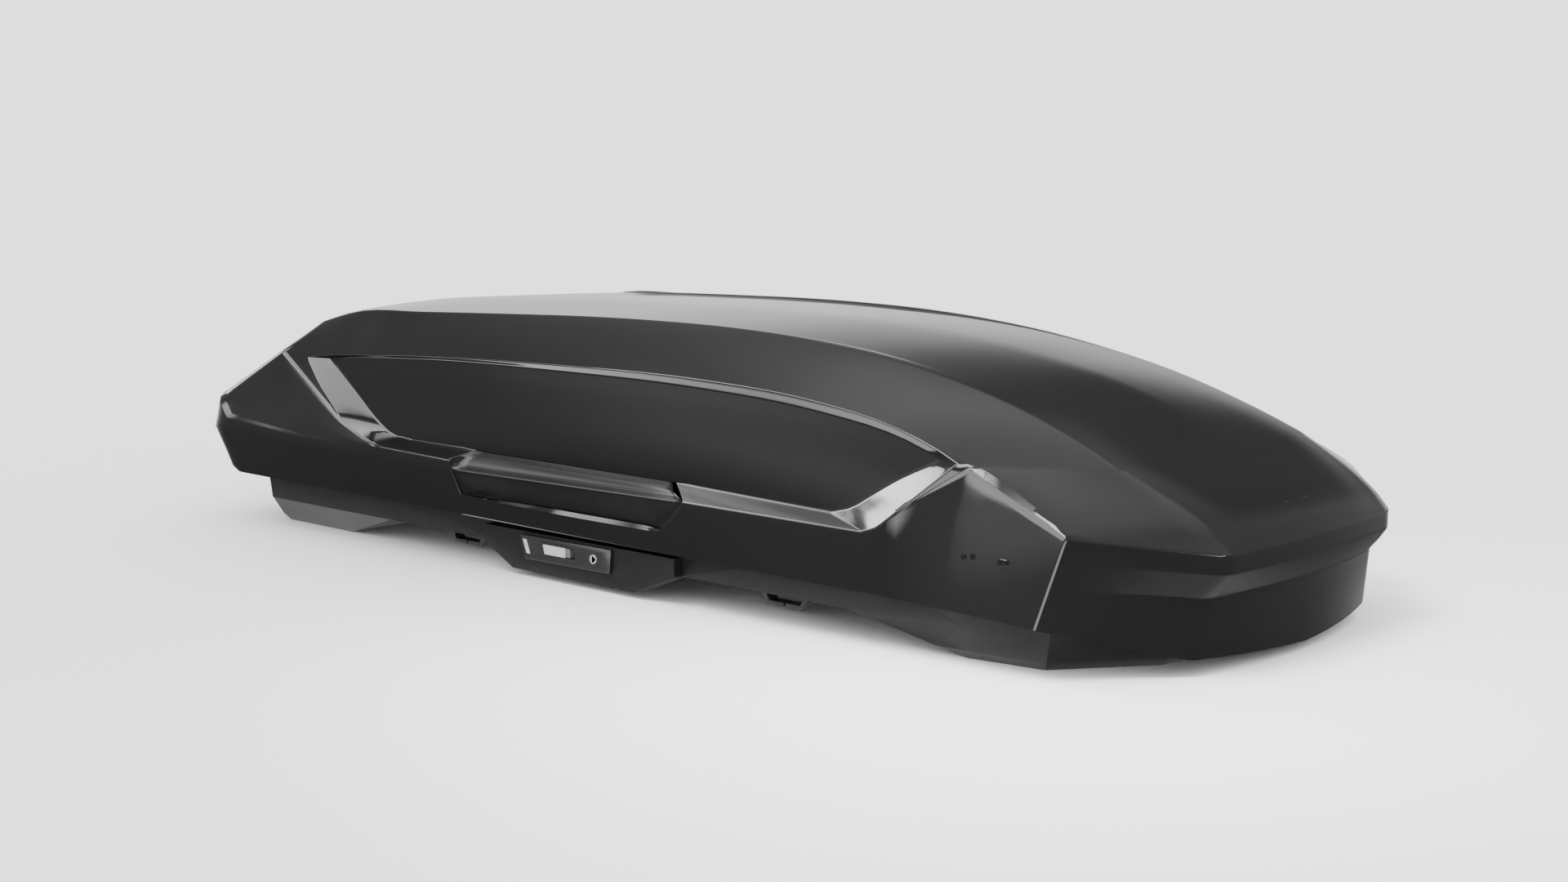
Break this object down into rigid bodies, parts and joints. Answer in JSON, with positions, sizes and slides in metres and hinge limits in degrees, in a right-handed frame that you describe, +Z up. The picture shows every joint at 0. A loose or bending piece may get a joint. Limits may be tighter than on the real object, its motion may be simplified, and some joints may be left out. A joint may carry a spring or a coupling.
{
  "type": "roof cargo box",
  "caption": "Long, low roof cargo box with recessed side panels, side handles and locks, a side-opening lid on struts, and crossbar clamps on floor tracks.",
  "frame": {"origin": "middle of the bounding box in plan, at the height of the two feet that the tub stands on", "axes": "+X along the length towards the nose, +Z up, -Y the side that opens"},
  "size_m": [2.32, 0.95, 0.4698],
  "materials": {
    "bezel_black_plastic": "satin",
    "clamp_black_plastic": "fine matt",
    "fitting_black_plastic": "fine matt",
    "handle_satin_black": "semi-gloss",
    "jaw_coated_steel": "soft-touch coating",
    "knob_grey_plastic": "satin",
    "lid_gloss_black": "high gloss",
    "lock_chrome": "polished",
    "rail_aluminium": "mill finish",
    "rivet_metal": "satin",
    "slider_grey_plastic": "satin",
    "strut_black_paint": "gloss paint",
    "strut_chrome": "polished",
    "track_aluminium": "satin anodised",
    "tub_grained_black": "fine grain",
    "zinc_steel": "zinc plated"
  },
  "bodies": {
    "base": {"base_tub": "tub_grained_black", "mount_track_near": "track_aluminium", "mount_track_far": "track_aluminium", "track_rivets": "rivet_metal", "pin_cradles": "fitting_black_plastic", "tub_rail_near": "rail_aluminium", "tub_rail_far": "rail_aluminium", "lock_bezel_near": "bezel_black_plastic", "lock_bezel_far": "bezel_black_plastic", "latch_guides": "fitting_black_plastic", "strut_bracket_tub_rear": "zinc_steel", "strut_bracket_tub_front": "zinc_steel"},
    "lid": {"lid_shell": "lid_gloss_black", "handle_near": "handle_satin_black", "handle_far": "handle_satin_black", "lid_rail_near": "rail_aluminium", "lid_rail_far": "rail_aluminium", "lid_strikers": "zinc_steel", "lid_rivets": "rivet_metal", "nose_stiffener": "zinc_steel", "strut_bracket_lid_rear": "zinc_steel", "strut_bracket_lid_front": "zinc_steel"},
    "latch_near": {"lock_slider_near": "slider_grey_plastic", "latch_link_near": "zinc_steel", "latch_bar_near": "zinc_steel", "latch_hooks_near": "zinc_steel"},
    "key_near": {"lock_cylinder_near": "lock_chrome", "lock_cam_near": "zinc_steel"},
    "latch_far": {"lock_slider_far": "slider_grey_plastic", "latch_link_far": "zinc_steel", "latch_bar_far": "zinc_steel", "latch_hooks_far": "zinc_steel"},
    "key_far": {"lock_cylinder_far": "lock_chrome", "lock_cam_far": "zinc_steel"},
    "strut_rear_tube": {"strut_tube_rear": "strut_black_paint"},
    "strut_rear_rod": {"strut_rod_rear": "strut_chrome"},
    "strut_front_tube": {"strut_tube_front": "strut_black_paint"},
    "strut_front_rod": {"strut_rod_front": "strut_chrome"},
    "clamp_rear_near": {"clamp_rear_near_housing": "clamp_black_plastic", "clamp_rear_near_pins": "zinc_steel"},
    "clamp_rear_near_knob": {"clamp_rear_near_knob": "knob_grey_plastic"},
    "clamp_rear_near_jaw_a": {"clamp_rear_near_jaw_a": "jaw_coated_steel"},
    "clamp_rear_near_jaw_b": {"clamp_rear_near_jaw_b": "jaw_coated_steel"},
    "clamp_rear_far": {"clamp_rear_far_housing": "clamp_black_plastic", "clamp_rear_far_pins": "zinc_steel"},
    "clamp_rear_far_knob": {"clamp_rear_far_knob": "knob_grey_plastic"},
    "clamp_rear_far_jaw_a": {"clamp_rear_far_jaw_a": "jaw_coated_steel"},
    "clamp_rear_far_jaw_b": {"clamp_rear_far_jaw_b": "jaw_coated_steel"},
    "clamp_front_near": {"clamp_front_near_housing": "clamp_black_plastic", "clamp_front_near_pins": "zinc_steel"},
    "clamp_front_near_knob": {"clamp_front_near_knob": "knob_grey_plastic"},
    "clamp_front_near_jaw_a": {"clamp_front_near_jaw_a": "jaw_coated_steel"},
    "clamp_front_near_jaw_b": {"clamp_front_near_jaw_b": "jaw_coated_steel"},
    "clamp_front_far": {"clamp_front_far_housing": "clamp_black_plastic", "clamp_front_far_pins": "zinc_steel"},
    "clamp_front_far_knob": {"clamp_front_far_knob": "knob_grey_plastic"},
    "clamp_front_far_jaw_a": {"clamp_front_far_jaw_a": "jaw_coated_steel"},
    "clamp_front_far_jaw_b": {"clamp_front_far_jaw_b": "jaw_coated_steel"}
  },
  "joints": [
    {"name": "lid_hinge", "type": "hinge", "parent": "base", "child": "lid", "pos_m": [0, 0.446, 0.118], "axis": [-1, 0, 0], "range_deg": [0, 50]},
    {"name": "latch_near_slide", "type": "slide", "parent": "base", "child": "latch_near", "axis": [1, 0, 0], "range_m": [0, 0.014], "stiffness_N_per_m": 400},
    {"name": "key_near_turn", "type": "hinge", "parent": "base", "child": "key_near", "pos_m": [0.01, -0.446, 0.058], "axis": [0, -1, 0], "range_deg": [0, 90]},
    {"name": "latch_far_slide", "type": "slide", "parent": "base", "child": "latch_far", "axis": [1, 0, 0], "range_m": [0, 0.014], "stiffness_N_per_m": 400},
    {"name": "key_far_turn", "type": "hinge", "parent": "base", "child": "key_far", "pos_m": [0.01, 0.446, 0.058], "axis": [0, 1, 0], "range_deg": [0, 90]},
    {"name": "strut_rear_swing", "type": "hinge", "parent": "base", "child": "strut_rear_tube", "pos_m": [-0.96, 0.33, 0.075], "axis": [-1, 0, 0], "range_deg": [0, 51.8]},
    {"name": "strut_rear_extend", "type": "slide", "parent": "strut_rear_tube", "child": "strut_rear_rod", "axis": [0, -0.813, 0.5823], "range_m": [0, 0.1036]},
    {"name": "strut_front_swing", "type": "hinge", "parent": "base", "child": "strut_front_tube", "pos_m": [0.83, 0.33, 0.075], "axis": [-1, 0, 0], "range_deg": [0, 51.8]},
    {"name": "strut_front_extend", "type": "slide", "parent": "strut_front_tube", "child": "strut_front_rod", "axis": [0, -0.813, 0.5823], "range_m": [0, 0.1036]},
    {"name": "clamp_rear_near_slide", "type": "slide", "parent": "base", "child": "clamp_rear_near", "axis": [1, 0, 0], "range_m": [-0.075, 0.075]},
    {"name": "clamp_rear_near_knob_turn", "type": "hinge", "parent": "clamp_rear_near", "child": "clamp_rear_near_knob", "pos_m": [-0.45, -0.345, 0.12], "axis": [0, 0, 1], "range_deg": [0, 900]},
    {"name": "clamp_rear_near_jaw_a_swing", "type": "hinge", "parent": "clamp_rear_near", "child": "clamp_rear_near_jaw_a", "pos_m": [-0.49, -0.345, 0.076], "axis": [0, 1, 0], "range_deg": [0, 35.1]},
    {"name": "clamp_rear_near_jaw_b_swing", "type": "hinge", "parent": "clamp_rear_near", "child": "clamp_rear_near_jaw_b", "pos_m": [-0.41, -0.345, 0.076], "axis": [0, -1, 0], "range_deg": [0, 35.1]},
    {"name": "clamp_rear_far_slide", "type": "slide", "parent": "base", "child": "clamp_rear_far", "axis": [1, 0, 0], "range_m": [-0.075, 0.075]},
    {"name": "clamp_rear_far_knob_turn", "type": "hinge", "parent": "clamp_rear_far", "child": "clamp_rear_far_knob", "pos_m": [-0.45, 0.345, 0.12], "axis": [0, 0, 1], "range_deg": [0, 900]},
    {"name": "clamp_rear_far_jaw_a_swing", "type": "hinge", "parent": "clamp_rear_far", "child": "clamp_rear_far_jaw_a", "pos_m": [-0.49, 0.345, 0.076], "axis": [0, 1, 0], "range_deg": [0, 35.1]},
    {"name": "clamp_rear_far_jaw_b_swing", "type": "hinge", "parent": "clamp_rear_far", "child": "clamp_rear_far_jaw_b", "pos_m": [-0.41, 0.345, 0.076], "axis": [0, -1, 0], "range_deg": [0, 35.1]},
    {"name": "clamp_front_near_slide", "type": "slide", "parent": "base", "child": "clamp_front_near", "axis": [1, 0, 0], "range_m": [-0.075, 0.075]},
    {"name": "clamp_front_near_knob_turn", "type": "hinge", "parent": "clamp_front_near", "child": "clamp_front_near_knob", "pos_m": [0.375, -0.345, 0.12], "axis": [0, 0, 1], "range_deg": [0, 900]},
    {"name": "clamp_front_near_jaw_a_swing", "type": "hinge", "parent": "clamp_front_near", "child": "clamp_front_near_jaw_a", "pos_m": [0.335, -0.345, 0.076], "axis": [0, 1, 0], "range_deg": [0, 35.1]},
    {"name": "clamp_front_near_jaw_b_swing", "type": "hinge", "parent": "clamp_front_near", "child": "clamp_front_near_jaw_b", "pos_m": [0.415, -0.345, 0.076], "axis": [0, -1, 0], "range_deg": [0, 35.1]},
    {"name": "clamp_front_far_slide", "type": "slide", "parent": "base", "child": "clamp_front_far", "axis": [1, 0, 0], "range_m": [-0.075, 0.075]},
    {"name": "clamp_front_far_knob_turn", "type": "hinge", "parent": "clamp_front_far", "child": "clamp_front_far_knob", "pos_m": [0.375, 0.345, 0.12], "axis": [0, 0, 1], "range_deg": [0, 900]},
    {"name": "clamp_front_far_jaw_a_swing", "type": "hinge", "parent": "clamp_front_far", "child": "clamp_front_far_jaw_a", "pos_m": [0.335, 0.345, 0.076], "axis": [0, 1, 0], "range_deg": [0, 35.1]},
    {"name": "clamp_front_far_jaw_b_swing", "type": "hinge", "parent": "clamp_front_far", "child": "clamp_front_far_jaw_b", "pos_m": [0.415, 0.345, 0.076], "axis": [0, -1, 0], "range_deg": [0, 35.1]}
  ],
  "couplings": [
    {"joint": "strut_rear_swing", "follows": "lid_hinge", "ratio": 1.0337},
    {"joint": "strut_rear_extend", "follows": "lid_hinge", "m_per_rad": 0.11861},
    {"joint": "strut_front_swing", "follows": "lid_hinge", "ratio": 1.0337},
    {"joint": "strut_front_extend", "follows": "lid_hinge", "m_per_rad": 0.11861},
    {"joint": "clamp_rear_near_jaw_a_swing", "follows": "clamp_rear_near_knob_turn", "ratio": 0.038889},
    {"joint": "clamp_rear_near_jaw_b_swing", "follows": "clamp_rear_near_knob_turn", "ratio": 0.038889},
    {"joint": "clamp_rear_far_jaw_a_swing", "follows": "clamp_rear_far_knob_turn", "ratio": 0.038889},
    {"joint": "clamp_rear_far_jaw_b_swing", "follows": "clamp_rear_far_knob_turn", "ratio": 0.038889},
    {"joint": "clamp_front_near_jaw_a_swing", "follows": "clamp_front_near_knob_turn", "ratio": 0.038889},
    {"joint": "clamp_front_near_jaw_b_swing", "follows": "clamp_front_near_knob_turn", "ratio": 0.038889},
    {"joint": "clamp_front_far_jaw_a_swing", "follows": "clamp_front_far_knob_turn", "ratio": 0.038889},
    {"joint": "clamp_front_far_jaw_b_swing", "follows": "clamp_front_far_knob_turn", "ratio": 0.038889}
  ]
}
